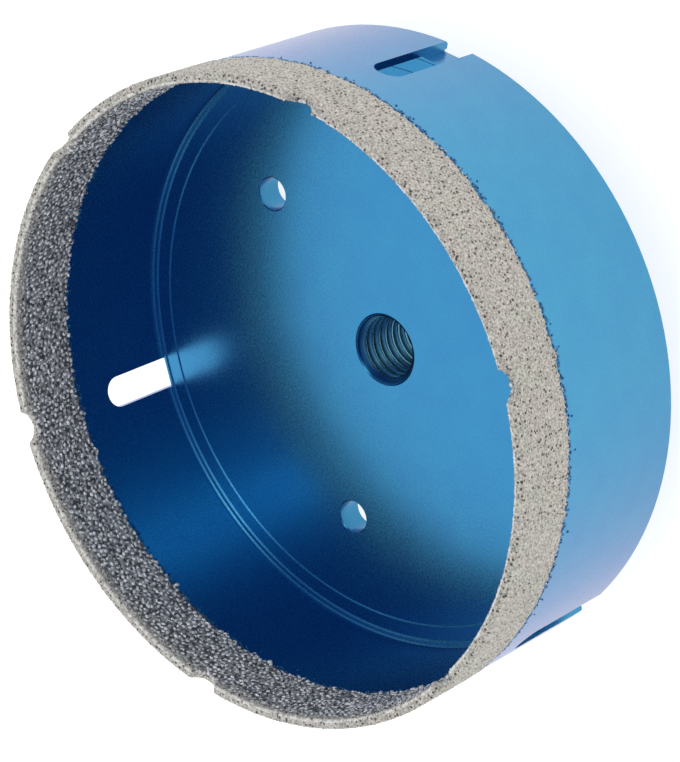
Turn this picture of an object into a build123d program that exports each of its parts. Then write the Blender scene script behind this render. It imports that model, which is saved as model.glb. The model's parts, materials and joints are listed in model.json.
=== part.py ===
"""Diamond core bit, cup pattern, for an angle grinder or tile drill.

Sizes in millimetres.  The row frame is Z up: the flat hub end is on Z = 0,
the diamond coated mouth opens upwards and the spindle thread is on Z.
One wall slot, and one notch in the rim, point along +X.
"""
from build123d import *
import os
from math import cos, radians, sin

# overall sizes
cut_diameter = 125.0        # over the diamond
total_height = 60.0         # hub end to diamond rim
cup_height = 46.0           # back of the plate to diamond rim
plate_thickness = 5.5
plate_setback = 0.5         # the plate's back lies this far inside the tube's back edge

# tube wall
wall = 1.6
back_chamfer = 0.6

# diamond layer, a skin over the front of the tube
grit_inside = 0.4           # thickness on the inner wall
grit_outside = 0.4          # and on the outer wall
grit_front = 0.5            # on the tube's front edge
grit_depth_in = 14.7        # how far it runs down the inner wall
grit_depth_out = 14.1       # and down the outer wall
grit_edge_break = 0.3

# slots through the wall, open at the back edge
slot_count = 3
slot_width = 6.2
slot_front_depth = 22.4     # rim to the slot's rounded end
slot_bite = 0.5             # how far it cuts into the plate's rim

# shallow rounded notches in the rim
notch_count = 6
notch_r = 3.2
notch_rise = 0.9            # centre of the notch's arc above the rim

# plate face
plate_hole_d = 6.6
plate_hole_edge = 0.2       # broken edge at the plate's face
plate_hole_pcr = 38.2
lip_width = 1.2             # low welded lip where the face meets the wall
lip_edge = 0.3              # its sloping inner edge
lip_height = 0.4
lip_corner = 0.3            # steeper last bit against the wall
step_inset = 4.3            # very shallow turned step, in from the wall
step_height = 0.25

# hub, turned in one with the plate
thread_d = 14.0             # M14, nominal
thread_lead_in = 1.0        # countersink at the spindle's side
thread_deburr = 0.3         # broken edge at the plate's face
hub_d = 28.0
hub_flats = 22.0            # across the two spanner flats
hub_flat_length = 9.0
hub_root_fillet = 1.5
hub_end_chamfer = 0.8

# what follows from them
z_rim = total_height
z_tube_edge = z_rim - grit_front
z_back = total_height - cup_height
z_plate_back = z_back + plate_setback
z_face = z_plate_back + plate_thickness
z_lip = z_face + step_height + lip_height
z_slot_end = z_rim - slot_front_depth
cut_r = cut_diameter / 2
tube_ro = cut_r - grit_outside
tube_ri = tube_ro - wall
tube_mid_r = (tube_ro + tube_ri) / 2
step_r = tube_ri - step_inset
grit_ri = tube_ri - grit_inside
slot_floor_r = tube_ri - slot_bite
bore_r = thread_d / 2
hub_r = hub_d / 2
over = 2.0                  # how far a cutter runs past what it cuts

os.makedirs("parts", exist_ok=True)


def facing_out(angle, radius):
    """Upright plane that looks out along the given direction."""
    c, s = cos(radians(angle)), sin(radians(angle))
    return Plane(origin=(radius * c, radius * s, 0), x_dir=(-s, c, 0), z_dir=(c, s, 0))


slot_planes = [facing_out(i * 360 / slot_count, slot_floor_r) for i in range(slot_count)]

# one cutter for the wall and the plate's rim: round at the front, open behind
with BuildPart() as slot_cutter:
    slot_straight = z_slot_end - slot_width / 2 - (z_back - over)
    with BuildSketch(*slot_planes):
        with Locations((0, z_slot_end - slot_width / 2)):
            Circle(slot_width / 2)
        with Locations((0, z_back - over + slot_straight / 2)):
            Rectangle(slot_width, slot_straight)
    extrude(amount=tube_ro - slot_floor_r + over)

# tube wall
with BuildPart() as barrel:
    with BuildSketch(Plane.XZ):
        with BuildLine():
            Polyline(
                (tube_ri, z_back),
                (tube_ro - back_chamfer, z_back),
                (tube_ro, z_back + back_chamfer),
                (tube_ro, z_tube_edge),
                (tube_ri, z_tube_edge),
                close=True,
            )
        make_face()
    revolve(axis=Axis.Z)
    add(slot_cutter.part, mode=Mode.SUBTRACT)
    # the tube is notched too, so the diamond keeps its thickness there
    with Locations((0, 0, z_tube_edge + notch_rise)):
        with PolarLocations(tube_mid_r, notch_count):
            Cylinder(
                notch_r,
                tube_ro - tube_ri + 2 * over,
                rotation=(0, 90, 0),
                mode=Mode.SUBTRACT,
            )

# back plate and hub
with BuildPart() as hub_plate:
    with BuildSketch(Plane.XZ):
        with BuildLine():
            Polyline(
                (hub_r, z_plate_back - hub_root_fillet),
                (hub_r, hub_end_chamfer),
                (hub_r - hub_end_chamfer, 0),
                (bore_r + thread_lead_in, 0),
                (bore_r, thread_lead_in),
                (bore_r, z_face - thread_deburr),
                (bore_r + thread_deburr, z_face),
                (step_r, z_face),
                (step_r + step_height, z_face + step_height),
                (tube_ri - lip_width, z_face + step_height),
                (tube_ri - lip_width + lip_edge, z_face + step_height + lip_edge),
                (tube_ri - lip_corner, z_lip),
                (tube_ri, z_lip + lip_corner),
                (tube_ri, z_plate_back),
                (hub_r + hub_root_fillet, z_plate_back),
            )
            RadiusArc(
                (hub_r + hub_root_fillet, z_plate_back),
                (hub_r, z_plate_back - hub_root_fillet),
                -hub_root_fillet,
            )
        make_face()
    revolve(axis=Axis.Z)
    add(slot_cutter.part, mode=Mode.SUBTRACT)
    with Locations((0, 0, (z_plate_back + z_face) / 2)):
        # holes sit midway between the slots
        with PolarLocations(plate_hole_pcr, slot_count, start_angle=180 / slot_count):
            Cylinder(plate_hole_d / 2, plate_thickness + 2 * over, mode=Mode.SUBTRACT)
    with Locations((0, 0, z_face - plate_hole_edge / 2)):
        with PolarLocations(plate_hole_pcr, slot_count, start_angle=180 / slot_count):
            Cone(
                plate_hole_d / 2,
                plate_hole_d / 2 + plate_hole_edge,
                plate_hole_edge,
                mode=Mode.SUBTRACT,
            )
    # spanner flats, facing +Y and -Y
    with BuildSketch(Plane.XY.offset(-over)):
        with GridLocations(0, hub_flats + hub_r, 1, 2):
            Rectangle(hub_d + 2 * over, hub_r)
    extrude(amount=hub_flat_length + over, mode=Mode.SUBTRACT)

# diamond layer: inner, front and outer skins in one
with BuildPart() as diamond_rim:
    with BuildSketch(Plane.XZ):
        with BuildLine():
            Polyline(
                (grit_ri, z_rim - grit_depth_in),
                (tube_mid_r, z_rim - grit_depth_in),
                (tube_mid_r, z_rim - grit_depth_out),
                (cut_r, z_rim - grit_depth_out),
                (cut_r, z_rim - grit_edge_break),
                (cut_r - grit_edge_break, z_rim),
                (grit_ri + grit_edge_break, z_rim),
                (grit_ri, z_rim - grit_edge_break),
                close=True,
            )
        make_face()
    revolve(axis=Axis.Z)
    with Locations((0, 0, z_rim + notch_rise)):
        with PolarLocations(tube_mid_r, notch_count):
            Cylinder(
                notch_r,
                cut_r - grit_ri + 2 * over,
                rotation=(0, 90, 0),
                mode=Mode.SUBTRACT,
            )
    add(barrel.part, mode=Mode.SUBTRACT)

barrel.part.label = "barrel"
hub_plate.part.label = "hub_plate"
diamond_rim.part.label = "diamond_rim"

export_step(barrel.part, "parts/barrel.step")
export_step(hub_plate.part, "parts/hub_plate.step")
export_step(diamond_rim.part, "parts/diamond_rim.step")
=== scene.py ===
"""Looks for the cup-shaped diamond core bit.

The body is steel in a satin blue metallic lacquer, with a cut spindle thread, and the
front of the tube carries a brazed band of diamond grains.  Lengths are in metres.
"""

import json
import math
from collections import namedtuple

import bpy
import numpy as np
from mathutils import Matrix, Vector


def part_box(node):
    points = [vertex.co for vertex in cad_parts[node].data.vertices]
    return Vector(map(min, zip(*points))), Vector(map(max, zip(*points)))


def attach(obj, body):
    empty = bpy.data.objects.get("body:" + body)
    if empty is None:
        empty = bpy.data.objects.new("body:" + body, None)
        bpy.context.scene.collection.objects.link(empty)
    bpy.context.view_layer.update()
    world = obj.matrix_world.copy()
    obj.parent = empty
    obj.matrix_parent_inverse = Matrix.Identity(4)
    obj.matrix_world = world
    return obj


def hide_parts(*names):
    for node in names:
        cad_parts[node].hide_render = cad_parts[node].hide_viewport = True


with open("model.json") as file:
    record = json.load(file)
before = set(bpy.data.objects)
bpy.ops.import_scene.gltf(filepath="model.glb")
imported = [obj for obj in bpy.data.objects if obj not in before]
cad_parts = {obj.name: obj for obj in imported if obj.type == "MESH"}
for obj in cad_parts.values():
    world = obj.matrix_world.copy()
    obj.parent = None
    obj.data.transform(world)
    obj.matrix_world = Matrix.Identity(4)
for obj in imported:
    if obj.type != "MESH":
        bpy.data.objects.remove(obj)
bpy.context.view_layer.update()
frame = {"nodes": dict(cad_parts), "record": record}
MM = 0.001

# --- sizes, read from the frame where it has them -----------------------------------------
mounts = {m["name"]: m for m in frame["record"]["mounts"]}
THREAD_MAJOR_R = mounts["spindle_thread"]["dims"]["r_mm"] * MM
THREAD_PITCH = 2.0 * MM
THREAD_DEPTH = 1.08 * MM
THREAD_START = 0.57         # turns by which its start is set round the bore
THREAD_ROOT_FLAT = 1 / 8    # shares of the pitch that stay flat at the root and at the crest
THREAD_CREST_FLAT = 1 / 4
THREAD_LOW_Z = 1.0 * MM     # lead-in at the hub's end
THREAD_DEBURR = 0.3 * MM    # broken edge round the bore at the plate's face
THREAD_MOUTH_SLOPE = 1.5    # how steeply the ridges fade out towards the plate's face
THREAD_PROUD = 0.02 * MM    # the thread's wall stands this far into the plain bore
THREAD_BACKING = 0.2 * MM   # and reaches this far behind it

RIM_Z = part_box("diamond_rim")[1].z
CUT_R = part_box("diamond_rim")[1].x
TUBE_OUTER_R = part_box("barrel")[1].y
TUBE_WALL = 1.6 * MM
TUBE_INNER_R = TUBE_OUTER_R - TUBE_WALL
TUBE_MIDDLE_R = (TUBE_INNER_R + TUBE_OUTER_R) / 2
GRIT_THICKNESS = 0.4 * MM
GRIT_INNER_R = TUBE_INNER_R - GRIT_THICKNESS
PLATE_SETBACK = 0.5 * MM    # the plate's back lies this far inside the tube
PLATE_THICKNESS = 5.5 * MM
PLATE_FACE_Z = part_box("barrel")[0].z + PLATE_SETBACK + PLATE_THICKNESS

BAND_DEPTH_OUT = 14.1 * MM
BAND_LOW_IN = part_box("diamond_rim")[0].z
BAND_LOW_OUT = RIM_Z - BAND_DEPTH_OUT
NOTCHES = 6
NOTCH_R = 3.2 * MM
NOTCH_RISE = 0.9 * MM

# --- camera -------------------------------------------------------------------------------
PICTURE_W = 680
FOCAL_PX = 2842.0
CAMERA_PLACE = Vector((255.5, -274.5, 417.0)) * MM
CAMERA_LOOK = Vector((-0.480, 0.510, -0.714))
CAMERA_UP = Vector((0.863, 0.421, -0.280))


def make_camera():
    data = bpy.data.cameras.new("camera")
    data.sensor_fit = "HORIZONTAL"
    data.sensor_width = 36.0
    data.lens = FOCAL_PX * data.sensor_width / PICTURE_W
    data.clip_start = 0.01
    camera = bpy.data.objects.new("camera", data)
    bpy.context.scene.collection.objects.link(camera)
    back = -CAMERA_LOOK.normalized()
    right = CAMERA_UP.cross(back).normalized()
    up = back.cross(right)
    turn = Matrix((right, up, back)).transposed()
    camera.matrix_world = Matrix.Translation(CAMERA_PLACE) @ turn.to_4x4()
    bpy.context.scene.camera = camera


# --- small helpers for node trees ---------------------------------------------------------
class Tree:
    """Adds nodes to a node tree and wires them up in one call."""

    def __init__(self, tree):
        self.tree = tree

    def add(self, kind, settings=None, **inputs):
        """A node of that kind; inputs are values or other nodes' sockets, by socket name."""
        node = self.tree.nodes.new(kind)
        for name, value in (settings or {}).items():
            setattr(node, name, value)
        for name, value in inputs.items():
            self.feed(node, name.replace("_", " "), value)
        return node

    def feed(self, node, name, value):
        """Sets or links one input, given by its name or by # and its number."""
        socket = node.inputs[int(name[1:])] if name[0] == "#" else node.inputs[name]
        if isinstance(value, bpy.types.NodeSocket):
            self.tree.links.new(value, socket)
        else:
            socket.default_value = value

    def math(self, operation, a, b=0.0, c=0.0, clamp=False):
        node = self.add("ShaderNodeMath", {"operation": operation, "use_clamp": clamp})
        for index, value in enumerate((a, b, c)):
            self.feed(node, "#%d" % index, value)
        return node.outputs[0]

    def vector(self, operation, a, b=None, scale=None, out=0):
        node = self.add("ShaderNodeVectorMath", {"operation": operation})
        for index, value in ((0, a), (1, b), (3, scale)):
            if value is not None:
                self.feed(node, "#%d" % index, value)
        return node.outputs[out]

    def ease(self, value, low, high, to_low=0.0, to_high=1.0):
        """Goes smoothly from to_low to to_high while the value goes from low to high."""
        node = self.add("ShaderNodeMapRange", {"interpolation_type": "SMOOTHSTEP"})
        names = ("Value", "From Min", "From Max", "To Min", "To Max")
        for name, given in zip(names, (value, low, high, to_low, to_high)):
            self.feed(node, name, given)
        return node.outputs[0]

    def mix(self, factor, a, b):
        node = self.add("ShaderNodeMix", {"data_type": "RGBA"})
        for index, value in ((0, factor), (6, a), (7, b)):
            self.feed(node, "#%d" % index, value)
        return node.outputs[2]

    def height(self, place):
        return self.add("ShaderNodeSeparateXYZ", Vector=place).outputs["Z"]

    def noise(self, place, size, detail):
        """Cloudy noise around 0.5, whose clouds are about that size."""
        scale = self.math("DIVIDE", 1.0, size)
        clouds = self.add("ShaderNodeTexNoise", Vector=place, Scale=scale, Detail=detail)
        return clouds.outputs["Fac"]


# --- studio -------------------------------------------------------------------------------
CEILING = 0.11                          # brightness of the dim studio ceiling in the metal
DIM_TINT = (1.35, 1.0, 0.58)            # the dimmer the studio's light, the bluer: powers of it
HORIZON = (0.25, 0.62)                  # heights between which the white wall fades out
SOFTBOXES = (               # direction, cosines where its glow starts and is full, brightness
    ((-0.47, 0.53, 0.72), 0.52, 0.97, 0.53),
    ((0.66, -0.22, 0.72), 0.90, 0.985, 0.50),
    ((0.15, -0.15, 0.97), 0.80, 0.99, 0.40),
)
FILL = 1.0                  # the white room's light on everything that is not mirrored
FILL_COLOUR = (0.98, 0.99, 1, 1)
FLOOR_REACH = 3.0
FLOOR_PAINT = (0.9, 0.9, 0.9, 1)
FLOOR_SHADED = (0.5, 0.5, 0.5, 1)       # the part of its white that takes a shadow
FLOOR_GLOW = 0.72           # how much of the floor's white is its own, to the eye and in metal
LAMPS = (                   # name, place, width, power
    ("key", (-0.7, 0.7, 1.0), 0.9, 1.2),
    ("strip", (1.0, -0.24, 1.02), 0.35, 0.5),
)
LAMP_AIM = Vector((0, 0, 0.03))


def background_ray(tree):
    """1 for the rays that should find the white background: the eye's, mirrored and refracted."""
    path = tree.add("ShaderNodeLightPath").outputs
    seen = tree.math("MAXIMUM", path["Is Camera Ray"], path["Is Glossy Ray"])
    return tree.math("MAXIMUM", seen, path["Is Transmission Ray"]), path["Is Camera Ray"]


def make_world():
    world = bpy.data.worlds.new("studio")
    bpy.context.scene.world = world
    world.use_nodes = True
    world.node_tree.nodes.clear()
    tree = Tree(world.node_tree)
    toward = tree.add("ShaderNodeTexCoord").outputs["Generated"]
    level = tree.ease(tree.height(toward), *HORIZON, 1.0, 0.0)
    for direction, start, full, strength in SOFTBOXES:
        facing = tree.vector("DOT_PRODUCT", toward, tuple(Vector(direction).normalized()), out=1)
        level = tree.math("MAXIMUM", level, tree.ease(facing, start, full, 0.0, strength))
    seen, eye = background_ray(tree)
    level = tree.math("MAXIMUM", tree.math("MAXIMUM", level, CEILING), eye)
    tinted = tree.add("ShaderNodeCombineXYZ")
    for index, power in enumerate(DIM_TINT):
        tree.feed(tinted, "#%d" % index, tree.math("POWER", level, power))
    shown = tree.add("ShaderNodeBackground", Color=tinted.outputs[0])
    fill = tree.add("ShaderNodeBackground", Color=FILL_COLOUR, Strength=FILL)
    both = tree.add("ShaderNodeMixShader", Fac=seen)
    tree.feed(both, "#1", fill.outputs[0])
    tree.feed(both, "#2", shown.outputs[0])
    tree.add("ShaderNodeOutputWorld", Surface=both.outputs[0])


def make_floor():
    mesh = bpy.data.meshes.new("floor")
    far = FLOOR_REACH
    corners = [(-far, -far, 0), (far, -far, 0), (far, far, 0), (-far, far, 0)]
    mesh.from_pydata(corners, [], [(0, 1, 2, 3)])
    floor = bpy.data.objects.new("floor", mesh)
    bpy.context.scene.collection.objects.link(floor)
    material = bpy.data.materials.new("pale_floor")
    material.use_nodes = True
    material.node_tree.nodes.clear()
    tree = Tree(material.node_tree)
    paint = tree.add("ShaderNodeBsdfDiffuse", Color=FLOOR_PAINT).outputs[0]
    shaded = tree.add("ShaderNodeBsdfDiffuse", Color=FLOOR_SHADED).outputs[0]
    glow = tree.add("ShaderNodeEmission", Strength=FLOOR_GLOW).outputs[0]
    lifted = tree.add("ShaderNodeAddShader")
    tree.feed(lifted, "#0", shaded)
    tree.feed(lifted, "#1", glow)
    mix = tree.add("ShaderNodeMixShader", Fac=background_ray(tree)[0])
    tree.feed(mix, "#1", paint)
    tree.feed(mix, "#2", lifted.outputs[0])
    tree.add("ShaderNodeOutputMaterial", Surface=mix.outputs[0])
    mesh.materials.append(material)


def make_lamp(name, place, width, power):
    data = bpy.data.lights.new(name, "AREA")
    data.shape = "RECTANGLE"
    data.size = width
    data.size_y = width
    data.energy = power
    lamp = bpy.data.objects.new(name, data)
    lamp.location = place
    lamp.rotation_euler = (Vector(place) - LAMP_AIM).to_track_quat("Z", "Y").to_euler()
    bpy.context.scene.collection.objects.link(lamp)


def make_studio():
    make_world()
    make_floor()
    for lamp in LAMPS:
        make_lamp(*lamp)
    bpy.context.scene.view_settings.view_transform = "Standard"


# --- finishes -----------------------------------------------------------------------------
# deep and light blue of the lacquer: over the steel, thin over the thread, and over the grains
# darker, as painted shade along the band's edge
STEEL_BLUE = ((0.047, 0.265, 0.505, 1), (0.053, 0.335, 0.525, 1))
THREAD_BLUE = ((0.12, 0.37, 0.47, 1), (0.17, 0.44, 0.54, 1))
SHADED_GRAIN_BLUE = ((0.030, 0.15, 0.33, 1), (0.045, 0.22, 0.40, 1))
GRAZING_TINT = (0.95, 0.75, 0.87, 1)    # share of each colour that it mirrors at a low angle
MOUTH_SHADE_BLUE = (0.014, 0.12, 0.25, 1)     # painted shade: the thread's mouth is painted this darker blue for the shade in the bore
MOUTH_SHADE_HEIGHTS = (PLATE_FACE_Z - 1.4 * MM, PLATE_FACE_Z - 0.8 * MM)
MOTTLE_CONTRAST = 0.9       # how far its grain and clouds carry it between the two blues
ROUGHNESS_SPREAD = 0.04

# dark and pale tone, the painted shade of the pits, metallic and roughness
Grit = namedtuple("Grit", "dark pale pore metallic roughness")
OUTER_GRIT = Grit((0.31, 0.29, 0.255, 1), (0.68, 0.62, 0.57, 1), (0.085, 0.07, 0.06, 1), 0.12, 0.5)
SHADED_INNER_GRIT = Grit((0.09, 0.085, 0.086, 1), (1.0, 0.98, 0.96, 1), (0.06, 0.056, 0.058, 1), 0.30, 0.30)
GREENISH = (0.64, 0.63, 0.55, 1)        # the other pale tone of the outer grit
GRAIN_TONE = "grain_tone"               # mesh attribute that holds each grain's own tone
ARRIS_HIGHLIGHT = (0.95, 0.94, 0.92, 1)    # painted highlight: a near-white line painted along the rim's inner edge, where its rounding catches the light
ARRIS_HIGHLIGHT_RANGE = (0.05, 0.65)               # least and most of that painted highlight that shows there
PORE_LIP = (-0.04, 0.10)                # depths between which a pit is painted dark, as the shade in it
MOTTLES = (                 # mark, detail of its noise, values at which it is dark and pale
    ("Tone", 1.5, 0.30, 0.70),
    ("Patch", 2.0, 0.38, 0.62),
    ("Tint", 3.0, 0.35, 0.65),
)


def new_material(name):
    material = bpy.data.materials.new(name)
    material.use_nodes = True
    return material, Tree(material.node_tree), material.node_tree.nodes["Principled BSDF"]


def new_group(name, inputs, outputs):
    """An empty shader node group of plain numbers: (name, value) inputs and named outputs."""
    group = bpy.data.node_groups.new(name, "ShaderNodeTree")
    for label, value in inputs:
        socket = group.interface.new_socket(label, in_out="INPUT", socket_type="NodeSocketFloat")
        socket.default_value = value
    for label in outputs:
        group.interface.new_socket(label, in_out="OUTPUT", socket_type="NodeSocketFloat")
    tree = Tree(group)
    return group, tree, tree.add("NodeGroupInput").outputs, tree.add("NodeGroupOutput")


def fine_grain():
    """Cloudy mottle and a fine blasted grain, both around 0.5, on Object coordinates."""
    group, tree, given, out = new_group(
        "fine_grain",
        [("Mottle Size", 6.0 * MM), ("Grain Size", 0.5 * MM)],
        ["Mottle", "Grain"],
    )
    place = tree.add("ShaderNodeTexCoord").outputs["Object"]
    tree.feed(out, "Mottle", tree.noise(place, given["Mottle Size"], 3.0))
    tree.feed(out, "Grain", tree.noise(place, given["Grain Size"], 2.0))
    return group


def lacquer(name, grain_group, blues, roughness, mouth=None):
    """Blue metallic lacquer over blasted steel, with a faint clear coat.

    blues are its deep and light tone; mouth is the pair of heights between which it is painted
    darker, as painted shade.
    """
    material, tree, bsdf = new_material(name)
    grain = tree.add("ShaderNodeGroup", {"node_tree": grain_group}).outputs
    half = MOTTLE_CONTRAST / 2
    fine = tree.math("MULTIPLY_ADD", grain["Grain"], MOTTLE_CONTRAST, -half)
    cloudy = tree.math("MULTIPLY_ADD", grain["Mottle"], MOTTLE_CONTRAST, 0.5 - half)
    blend = tree.math("ADD", fine, cloudy, clamp=True)
    colour = tree.mix(blend, *blues)
    # painted shade: darker towards the plate's face, in the thread's mouth
    if mouth:
        height = tree.height(tree.add("ShaderNodeTexCoord").outputs["Object"])
        colour = tree.mix(tree.ease(height, *mouth), colour, MOUTH_SHADE_BLUE)
    tree.feed(bsdf, "Base Color", colour)
    tree.feed(bsdf, "Metallic", 1.0)
    smoothest, roughest = roughness - ROUGHNESS_SPREAD, roughness + ROUGHNESS_SPREAD
    tree.feed(bsdf, "Roughness", tree.ease(grain["Grain"], 0.3, 0.7, smoothest, roughest))
    tree.feed(bsdf, "Specular Tint", GRAZING_TINT)
    tree.feed(bsdf, "Coat Weight", 0.35)
    tree.feed(bsdf, "Coat Roughness", 0.25)
    bumped = tree.add("ShaderNodeBump", Strength=0.2, Distance=0.05 * MM, Height=grain["Grain"])
    tree.feed(bsdf, "Normal", bumped.outputs[0])
    return material


def grain_marks():
    """Marks of the diamond band, from 0 to 1, on Object coordinates.

    Tone and Patch are its fine and coarse mottle, Swell its lumps, Pore its pits, which are
    painted dark as their shade, and Tint its slow change of colour.  Inner is 1 deep inside the
    cup, where the grit is painted darker as shade, and Arris on the rim's inner edge, where a
    highlight is painted.
    A pore's radius is Pore Radius, in shares of the spacing, or down to Smallest Pore of that,
    and on the front edge it is larger by the share Front Growth.
    """
    group, tree, given, out = new_group(
        "grain_marks",
        [
            ("Tone Size", 0.40 * MM),
            ("Patch Size", 0.90 * MM),
            ("Tint Size", 5.0 * MM),
            ("Lump Size", 0.80 * MM),
            ("Pore Spacing", 0.78 * MM),
            ("Pore Radius", 0.36),
            ("Smallest Pore", 0.4),
            ("Front Growth", 0.12),
            ("Wall Radius", TUBE_MIDDLE_R),
            ("Arris Radius", TUBE_INNER_R + 0.4 * MM),
            # heights over which the painted shade inside the cup comes in
            ("Inner Top", RIM_Z),
            ("Inner Full", RIM_Z - 3.5 * MM),
            ("Front Low", RIM_Z - 0.8 * MM),
            ("Front High", RIM_Z - 0.4 * MM),
        ],
        ["Tone", "Patch", "Swell", "Pore", "Inner", "Arris", "Tint"],
    )
    place = tree.add("ShaderNodeTexCoord").outputs["Object"]
    height = tree.height(place)
    radius = tree.vector("LENGTH", tree.vector("MULTIPLY", place, (1, 1, 0)), out=1)
    for mark, detail, dark, pale in MOTTLES:
        clouds = tree.noise(place, given[mark + " Size"], detail)
        tree.feed(out, mark, tree.ease(clouds, dark, pale))

    scale = tree.math("DIVIDE", 1.0, given["Lump Size"])
    lumps = tree.add("ShaderNodeTexVoronoi", Vector=place, Scale=scale).outputs["Distance"]
    tree.feed(out, "Swell", tree.math("SUBTRACT", 1.0, lumps))

    front = tree.ease(height, given["Front Low"], given["Front High"])
    scale = tree.math("DIVIDE", 1.0, given["Pore Spacing"])
    spots = tree.add("ShaderNodeTexVoronoi", Vector=place, Scale=scale).outputs
    pick = tree.add("ShaderNodeSeparateColor", Color=spots["Color"]).outputs[1]
    reach = tree.ease(pick, 0.0, 1.0, given["Smallest Pore"], 1.0)
    reach = tree.math("MULTIPLY", reach, given["Pore Radius"])
    growth = tree.math("MULTIPLY_ADD", front, given["Front Growth"], 1.0)
    reach = tree.math("MULTIPLY", reach, growth)
    pit = tree.math("SUBTRACT", reach, spots["Distance"])
    tree.feed(out, "Pore", tree.ease(pit, *PORE_LIP))

    depth = tree.ease(height, given["Inner Top"], given["Inner Full"])
    within = tree.math("LESS_THAN", radius, given["Wall Radius"])
    tree.feed(out, "Inner", tree.math("MULTIPLY", depth, within))
    close = tree.math("LESS_THAN", radius, given["Arris Radius"])
    tree.feed(out, "Arris", tree.math("MULTIPLY", front, close))
    return group


def brazed_grit(name, marks_group, bump):
    """Diamond grains under a nickel braze: pale outside, and deep inside the cup a darker copy
    with more contrast, painted as shade.
    """
    material, tree, bsdf = new_material(name)
    marks = tree.add("ShaderNodeGroup", {"node_tree": marks_group}).outputs
    pale = tree.mix(marks["Tint"], OUTER_GRIT.pale, GREENISH)
    outside = tree.mix(marks["Tone"], OUTER_GRIT.dark, pale)
    # painted shade: the pits are darkened
    outside = tree.mix(marks["Pore"], outside, OUTER_GRIT.pore)
    # painted highlight along the rim's inner edge, patchy with the coarse mottle
    least, most = ARRIS_HIGHLIGHT_RANGE
    arris_highlight = tree.math("MULTIPLY_ADD", marks["Patch"], most - least, least)
    arris_highlight = tree.math("MULTIPLY", marks["Arris"], arris_highlight)
    outside = tree.mix(arris_highlight, outside, ARRIS_HIGHLIGHT)

    # the darker copy for deep inside the cup, painted shade; each grain's own tone differs at
    # random
    own = tree.add("ShaderNodeAttribute", {"attribute_name": GRAIN_TONE}).outputs["Fac"]
    blotch = tree.math("ADD", own, tree.math("MULTIPLY", marks["Patch"], 0.5))
    fine = tree.math("MULTIPLY_ADD", marks["Tone"], 0.4, 0.6)
    blotch = tree.math("MULTIPLY", blotch, fine, clamp=True)
    inside = tree.mix(blotch, SHADED_INNER_GRIT.dark, SHADED_INNER_GRIT.pale)
    # painted shade: the pits are darkened
    inside = tree.mix(marks["Pore"], inside, SHADED_INNER_GRIT.pore)

    # painted shade: deep inside the cup the darker copy of the grit takes over
    inner = marks["Inner"]
    tree.feed(bsdf, "Base Color", tree.mix(inner, outside, inside))
    tree.feed(bsdf, "Metallic", tree.ease(inner, 0.0, 1.0, OUTER_GRIT.metallic, SHADED_INNER_GRIT.metallic))
    tree.feed(bsdf, "Roughness", tree.ease(inner, 0.0, 1.0, OUTER_GRIT.roughness, SHADED_INNER_GRIT.roughness))
    relief = tree.math("SUBTRACT", marks["Swell"], marks["Pore"])
    relief = tree.math("MULTIPLY_ADD", marks["Tone"], 0.4, relief)
    bumped = tree.add("ShaderNodeBump", Strength=bump, Distance=0.2 * MM, Height=relief)
    tree.feed(bsdf, "Normal", bumped.outputs[0])
    return material


def give(obj, material):
    obj.data.materials.clear()
    obj.data.materials.append(material)


# --- the diamond band ---------------------------------------------------------------------
SKIN_STEP = 0.33 * MM       # size of the braze mesh's faces
SKIN_SINK = 0.22 * MM       # the braze lies this far under the tips of the grains
EDGE_BREAK = 0.5 * MM
EDGE_BEND = 0.3 * EDGE_BREAK    # the rounding's middle lies this far from both its faces
EDGE_SPARE = 2.2 * MM       # how far the meshes run on past the band's ragged edge
EDGE_WANDER = 1.25 * MM     # size of the bays and tongues of that edge
GRAIN_STRETCH = ((0.8, 0.5, 0.45), (1.2, 0.9, 0.75))    # least and most, last one off the wall
GRAIN_TONES = (0.3, 1.1)    # darkest and palest grain
GRAIN_SPARE = 1.3 * MM      # the big grains stop this far under the rim, finer ones go on
LUMP_MIDDLE = 0.45          # where a lump's flank crosses the braze's mean surface
TONE_SEED = 7
TURN_SEED = 3
STRETCH_SEED = 5


def notch_dip(across):
    """How deep the rim is cut at a distance across from a notch's middle."""
    arc = np.sqrt(np.maximum(NOTCH_R**2 - across**2, 0.0)) - NOTCH_RISE
    return np.maximum(arc, 0.0)


def resample(points, step):
    """Points along a polyline, about one step apart, keeping its corners."""
    path = [points[0]]
    for a, b in zip(points, points[1:]):
        parts = max(1, round(math.dist(a, b) / step))
        path += [tuple(p + (q - p) * k / parts for p, q in zip(a, b)) for k in range(1, parts + 1)]
    return np.array(path)


def lathe(name, path, around, drop=0.0, closed=False):
    """Sweeps (r, z) points once round the axis; drop lowers each point of the grid."""
    angle = np.arange(around)[:, None] * 2 * math.pi / around
    r, z = path[:, 0][None, :], path[:, 1][None, :]
    z = z - drop + 0 * angle
    points = np.stack([r * np.cos(angle), r * np.sin(angle), z], -1).reshape(-1, 3)
    count = len(path)
    i, j = np.meshgrid(np.arange(around), np.arange(count - (not closed)), indexing="ij")
    ahead, after = (i + 1) % around, (j + 1) % count
    corners = [i * count + j, i * count + after, ahead * count + after, ahead * count + j]
    quads = np.stack(corners, -1).reshape(-1, 4)
    mesh = bpy.data.meshes.new(name)
    mesh.from_pydata(points.tolist(), [], quads.tolist())
    turned = bpy.data.objects.new(name, mesh)
    bpy.context.scene.collection.objects.link(turned)
    return turned


def swept_band(name, outline, step):
    """An outline swept round the axis, dipping into the notches; down the wall the dip fades."""
    path = resample(outline, step)
    around = round(2 * math.pi * CUT_R / step)
    pitch = 2 * math.pi / NOTCHES
    angle = np.arange(around) * 2 * math.pi / around
    across = (np.mod(angle + pitch / 2, pitch) - pitch / 2) * TUBE_MIDDLE_R
    low = path[:, 1].min()
    share = (path[:, 1] - low) / (RIM_Z - low)
    return lathe(name, path, around, notch_dip(across)[:, None] * share[None, :] ** 2)


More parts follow.
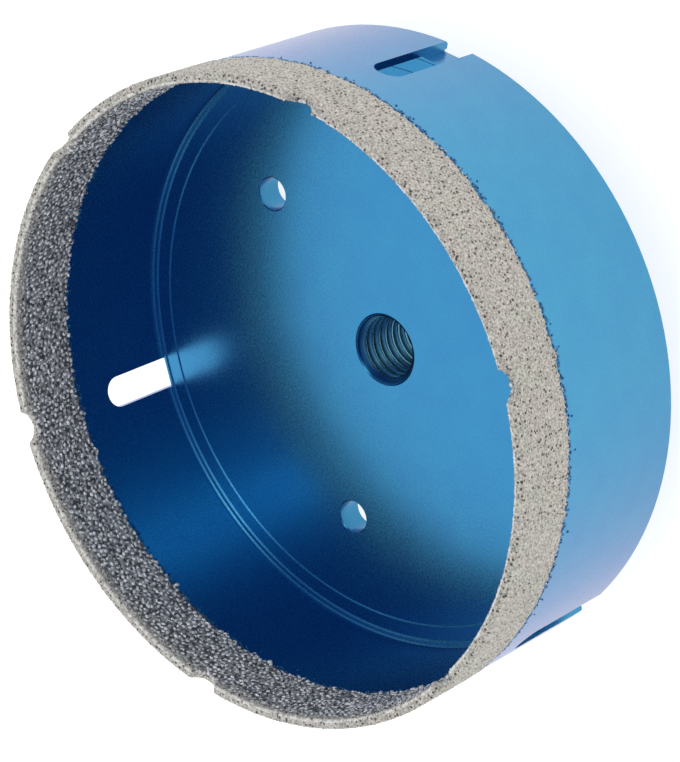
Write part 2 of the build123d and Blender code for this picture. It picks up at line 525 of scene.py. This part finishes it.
def band_outline(side):
    """Outline from under the band's lower edge, up the wall and over half of the front edge."""
    r = side.wall_r + side.inwards * SKIN_SINK
    top = RIM_Z - SKIN_SINK
    points = [
        (r, side.low_z - EDGE_SPARE),
        (r, top - EDGE_BREAK),
        (r + side.inwards * EDGE_BEND, top - EDGE_BEND),
        (r + side.inwards * EDGE_BREAK, top),
        (TUBE_MIDDLE_R, top),
    ]
    return points if side.inwards > 0 else points[::-1]


def geometry_tree(name, inputs):
    """A Geometry Nodes tree with a mesh in and out, (name, value) inputs and a material."""
    group = bpy.data.node_groups.new(name, "GeometryNodeTree")
    group.interface.new_socket("Mesh", in_out="INPUT", socket_type="NodeSocketGeometry")
    for label, value in inputs:
        kind = "NodeSocketInt" if isinstance(value, int) else "NodeSocketFloat"
        socket = group.interface.new_socket(label, in_out="INPUT", socket_type=kind)
        socket.default_value = value
    group.interface.new_socket("Material", in_out="INPUT", socket_type="NodeSocketMaterial")
    group.interface.new_socket("Mesh", in_out="OUTPUT", socket_type="NodeSocketGeometry")
    tree = Tree(group)
    return group, tree, tree.add("NodeGroupInput").outputs, tree.add("NodeGroupOutput")


def end_tree(tree, out, geometry, smooth, material):
    """Makes what a tree has built one plain mesh, smooth or faceted, in its material."""
    shaded = tree.add("GeometryNodeSetShadeSmooth", Geometry=geometry)
    tree.feed(shaded, "Shade Smooth", smooth)
    real = tree.add("GeometryNodeRealizeInstances", Geometry=shaded.outputs[0])
    painted = tree.add("GeometryNodeSetMaterial", Geometry=real.outputs[0])
    tree.feed(painted, "Material", material)
    tree.feed(out, "Mesh", painted.outputs[0])


def ragged_edge(tree, place, edge_z, ragged, soft):
    """1 inside the band, 0 below its ragged lower edge."""
    wander = tree.noise(place, EDGE_WANDER, 3.0)
    shift = tree.math("MULTIPLY", tree.math("SUBTRACT", wander, 0.5), ragged)
    above = tree.math("SUBTRACT", tree.math("SUBTRACT", tree.height(place), edge_z), shift)
    return tree.ease(tree.math("DIVIDE", above, soft), 0.0, 1.0)


def skin_tree():
    """Pushes a swept band in and out: lumps inside the band, buried below its edge."""
    group, tree, given, out = geometry_tree("braze_skin", [
        ("Edge Height", 0.0),
        ("Ragged", 2.2 * MM),
        ("Lump Size", 0.8 * MM),
        ("Lump Height", 0.22 * MM),
        ("Buried", 0.6 * MM),
    ])
    place = tree.add("GeometryNodeInputPosition").outputs[0]
    inside = ragged_edge(tree, place, given["Edge Height"], given["Ragged"], 0.5 * MM)
    scale = tree.math("DIVIDE", 1.0, given["Lump Size"])
    cells = tree.add("ShaderNodeTexVoronoi", Vector=place, Scale=scale).outputs["Distance"]
    lump = tree.math("MULTIPLY", tree.math("SUBTRACT", LUMP_MIDDLE, cells), given["Lump Height"])
    lift = tree.add("ShaderNodeMix", {"data_type": "FLOAT"})
    tree.feed(lift, "#0", inside)
    tree.feed(lift, "#2", tree.math("MULTIPLY", given["Buried"], -1.0))
    tree.feed(lift, "#3", lump)
    normal = tree.add("GeometryNodeInputNormal").outputs[0]
    moved = tree.add("GeometryNodeSetPosition", Geometry=given["Mesh"])
    tree.feed(moved, "Offset", tree.vector("SCALE", normal, scale=lift.outputs[0]))
    end_tree(tree, out, moved.outputs[0], True, given["Material"])
    return group


def grain_tree():
    """Scatters faceted grains over a swept band, as far down as its ragged edge."""
    group, tree, given, out = geometry_tree("grain_scatter", [
        ("Edge Height", 0.0),
        ("Upper Height", 1.0),
        ("Ragged", 2.2 * MM),
        ("Spacing", 0.75 * MM),
        ("Per Square Metre", 4.0e6),
        ("Grain Size", 0.6 * MM),
        ("Sunk", 0.1 * MM),
        ("Tilt", 0.45),
        ("Seed", 1),
    ])
    place = tree.add("GeometryNodeInputPosition").outputs[0]
    inside = ragged_edge(tree, place, given["Edge Height"], given["Ragged"], 0.2 * MM)
    beyond = ragged_edge(tree, place, given["Upper Height"], given["Ragged"], 0.2 * MM)
    inside = tree.math("SUBTRACT", inside, beyond)
    points = tree.add(
        "GeometryNodeDistributePointsOnFaces", {"distribute_method": "POISSON"},
        Mesh=given["Mesh"], Seed=given["Seed"],
    )
    tree.feed(points, "Distance Min", given["Spacing"])
    tree.feed(points, "Density Max", given["Per Square Metre"])
    tree.feed(points, "Density Factor", inside)
    sunk = tree.add("GeometryNodeSetPosition", Geometry=points.outputs["Points"])
    depth = tree.math("MULTIPLY", given["Sunk"], -1.0)
    tree.feed(sunk, "Offset", tree.vector("SCALE", points.outputs["Normal"], scale=depth))
    tone = tree.add("FunctionNodeRandomValue", {"data_type": "FLOAT"}, Seed=TONE_SEED)
    tree.feed(tone, "#2", GRAIN_TONES[0])
    tree.feed(tone, "#3", GRAIN_TONES[1])
    toned = tree.add("GeometryNodeStoreNamedAttribute", Geometry=sunk.outputs[0], Name=GRAIN_TONE)
    tree.feed(toned, "Value", tone.outputs[1])
    radius = tree.math("MULTIPLY", given["Grain Size"], 0.5)
    grain = tree.add("GeometryNodeMeshIcoSphere", Radius=radius, Subdivisions=1).outputs["Mesh"]
    lean = tree.add("ShaderNodeCombineXYZ", X=given["Tilt"], Y=given["Tilt"], Z=math.pi).outputs[0]
    as_vector = {"data_type": "FLOAT_VECTOR"}
    turn = tree.add("FunctionNodeRandomValue", as_vector, Seed=TURN_SEED)
    tree.feed(turn, "#0", tree.vector("SCALE", lean, scale=-1.0))
    tree.feed(turn, "#1", lean)
    stretch = tree.add("FunctionNodeRandomValue", as_vector, Seed=STRETCH_SEED)
    tree.feed(stretch, "#0", GRAIN_STRETCH[0])
    tree.feed(stretch, "#1", GRAIN_STRETCH[1])
    laid = tree.add("FunctionNodeRotateRotation", {"rotation_space": "LOCAL"})
    tree.feed(laid, "#0", points.outputs["Rotation"])
    tree.feed(laid, "#1", turn.outputs[0])
    placed = tree.add("GeometryNodeInstanceOnPoints", Points=toned.outputs[0], Instance=grain)
    tree.feed(placed, "Rotation", laid.outputs[0])
    tree.feed(placed, "Scale", stretch.outputs[0])
    end_tree(tree, out, placed.outputs[0], False, given["Material"])
    return group


def grow(name, base, group, values):
    """Runs a Geometry Nodes tree on a base object's mesh and keeps the result as a plain piece."""
    modifier = base.modifiers.new(group.name, "NODES")
    modifier.node_group = group
    inputs = [item for item in group.interface.items_tree if item.in_out == "INPUT"]
    sockets = {item.name: item.identifier for item in inputs}
    for label, value in values.items():
        modifier[sockets[label]] = value
    bpy.context.view_layer.update()
    evaluated = base.evaluated_get(bpy.context.evaluated_depsgraph_get())
    mesh = bpy.data.meshes.new_from_object(evaluated)
    mesh.name = name
    base.modifiers.remove(modifier)
    piece = bpy.data.objects.new(name, mesh)
    bpy.context.scene.collection.objects.link(piece)
    return piece


def join_root(piece):
    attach(piece, "root")


# one side of the band: its wall, which way the steel lies from it, where its lower edge is, and
# how far apart, how big and how deep its grains are
Side = namedtuple("Side", "name wall_r inwards low_z spacing size sunk")
SIDES = (
    Side("inner", GRIT_INNER_R, 1, BAND_LOW_IN, 0.86 * MM, 1.25 * MM, 0.20 * MM),
    Side("outer", CUT_R, -1, BAND_LOW_OUT, 0.72 * MM, 0.60 * MM, 0.10 * MM),
)


def grain_layers(side):
    """The layers of grains on one side: name, finish, slot, first seed and the tree's inputs."""
    return (
        ("grains_", "grit", "diamond_grit", 11, {
            "Edge Height": side.low_z,
            "Upper Height": RIM_Z - GRAIN_SPARE,
            "Spacing": side.spacing,
            "Grain Size": side.size,
            "Sunk": side.sunk,
        }),
        ("front_grains_", "grit", "diamond_grit", 41, {
            "Edge Height": RIM_Z - GRAIN_SPARE,
            "Upper Height": RIM_Z + GRAIN_SPARE,
            "Spacing": 0.52 * MM,
            "Per Square Metre": 1.2e7,
            "Grain Size": 0.62 * MM,
            "Sunk": 0.12 * MM,
        }),
        # lacquered grains in a darker blue, painted shade along the band's lower edge
        ("painted_grains_", "shaded_blue_on_grains", "blue_coat", 21, {
            "Edge Height": side.low_z - 0.50 * MM,
            "Upper Height": side.low_z + 0.25 * MM,
            "Spacing": 0.42 * MM,
            "Per Square Metre": 2.0e7,
            "Grain Size": 0.75 * MM,
            "Sunk": 0.18 * MM,
        }),
        ("stray_grains_", "shaded_blue_on_grains", "blue_coat", 31, {
            "Edge Height": side.low_z - 1.8 * MM,
            "Upper Height": side.low_z,
            "Spacing": 4.0 * MM,
            "Grain Size": 0.55 * MM,
            "Sunk": 0.15 * MM,
        }),
    )


def diamond_band(finishes):
    """On each side a lumpy braze skin and its layers of grains, instead of the plain solid."""
    skins = skin_tree()
    grains = grain_tree()
    for number, side in enumerate(SIDES):
        base = swept_band("band_" + side.name, band_outline(side), SKIN_STEP)
        skin = grow("braze_skin_" + side.name, base, skins, {
            "Edge Height": side.low_z,
            "Material": finishes["braze"],
        })
        join_root(skin)
        if side.name == "inner":
            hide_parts("diamond_rim")
        for name, finish, slot, seed, values in grain_layers(side):
            values = {**values, "Seed": seed + number, "Material": finishes[finish]}
            layer = grow(name + side.name, base, grains, values)
            join_root(layer)
        bpy.data.objects.remove(base)


# --- the spindle thread -------------------------------------------------------------------
THREAD_RINGS = 180          # rows and columns of the thread's mesh
THREAD_SIDES = 96


def thread_tree():
    """Raises a right-handed thread inside a tube, fading out at both ends."""
    group, tree, given, out = geometry_tree("spindle_thread", [
        ("Root Radius", THREAD_MAJOR_R),
        ("Depth", THREAD_DEPTH),
        ("Pitch", THREAD_PITCH),
        ("Start Turn", THREAD_START),
        ("Mouth Slope", THREAD_MOUTH_SLOPE),
        ("Low End", 0.0),
        ("High End", PLATE_FACE_Z),
    ])
    place = tree.add("GeometryNodeInputPosition").outputs[0]
    xyz = tree.add("ShaderNodeSeparateXYZ", Vector=place).outputs
    angle = tree.math("DIVIDE", tree.math("ARCTAN2", xyz["Y"], xyz["X"]), 2 * math.pi)
    turns = tree.math("SUBTRACT", tree.math("DIVIDE", xyz["Z"], given["Pitch"]), angle)
    turns = tree.math("ADD", turns, given["Start Turn"])
    across = tree.math("ABSOLUTE", tree.math("SUBTRACT", tree.math("FRACT", turns), 0.5))
    flank = tree.add("ShaderNodeMapRange", Value=across)
    tree.feed(flank, "From Min", (1 - THREAD_ROOT_FLAT) / 2)
    tree.feed(flank, "From Max", THREAD_CREST_FLAT / 2)
    tree.feed(flank, "To Max", given["Depth"])
    lower = tree.math("SUBTRACT", xyz["Z"], given["Low End"])
    upper = tree.math("SUBTRACT", given["High End"], xyz["Z"])
    upper = tree.math("MULTIPLY", upper, given["Mouth Slope"])
    height = tree.math("MINIMUM", flank.outputs[0], tree.math("MINIMUM", lower, upper))
    flat = tree.vector("MULTIPLY", place, (1, 1, 0))
    radius = tree.vector("LENGTH", flat, out=1)
    inner_wall = tree.math("LESS_THAN", radius, given["Root Radius"])
    height = tree.math("MULTIPLY", tree.math("MAXIMUM", height, 0.0), inner_wall)
    height = tree.math("MULTIPLY", height, -1.0)
    inward = tree.vector("SCALE", tree.vector("NORMALIZE", flat), scale=height)
    moved = tree.add("GeometryNodeSetPosition", Geometry=given["Mesh"])
    tree.feed(moved, "Offset", inward)
    end_tree(tree, out, moved.outputs[0], True, given["Material"])
    return group


def spindle_thread(material):
    low = THREAD_LOW_Z
    high = PLATE_FACE_Z - THREAD_DEBURR
    inner = THREAD_MAJOR_R - THREAD_PROUD
    outer = THREAD_MAJOR_R + THREAD_BACKING
    rise = np.linspace(low, high, THREAD_RINGS)
    path = [(outer, low)] + [(inner, z) for z in rise] + [(outer, high)]
    base = lathe("thread_wall", np.array(path), THREAD_SIDES, closed=True)
    thread = grow("spindle_thread", base, thread_tree(), {
        "Low End": low,
        "High End": high,
        "Material": material,
    })
    join_root(thread)
    bpy.data.objects.remove(base)


# --- put together -------------------------------------------------------------------------
make_camera()
make_studio()
grain_group = fine_grain()
marks_group = grain_marks()
blue = lacquer("blue_lacquer", grain_group, STEEL_BLUE, 0.27)
for name in ("barrel", "hub_plate"):
    give(frame["nodes"][name], blue)
diamond_band({
    "braze": brazed_grit("braze", marks_group, 0.5),
    "grit": brazed_grit("grit", marks_group, 0.4),
    "shaded_blue_on_grains": lacquer("shaded_blue_on_grains", grain_group, SHADED_GRAIN_BLUE, 0.38),
})
# the thread's lacquer carries painted shade at its mouth
spindle_thread(lacquer("thread_lacquer", grain_group, THREAD_BLUE, 0.30, MOUTH_SHADE_HEIGHTS))
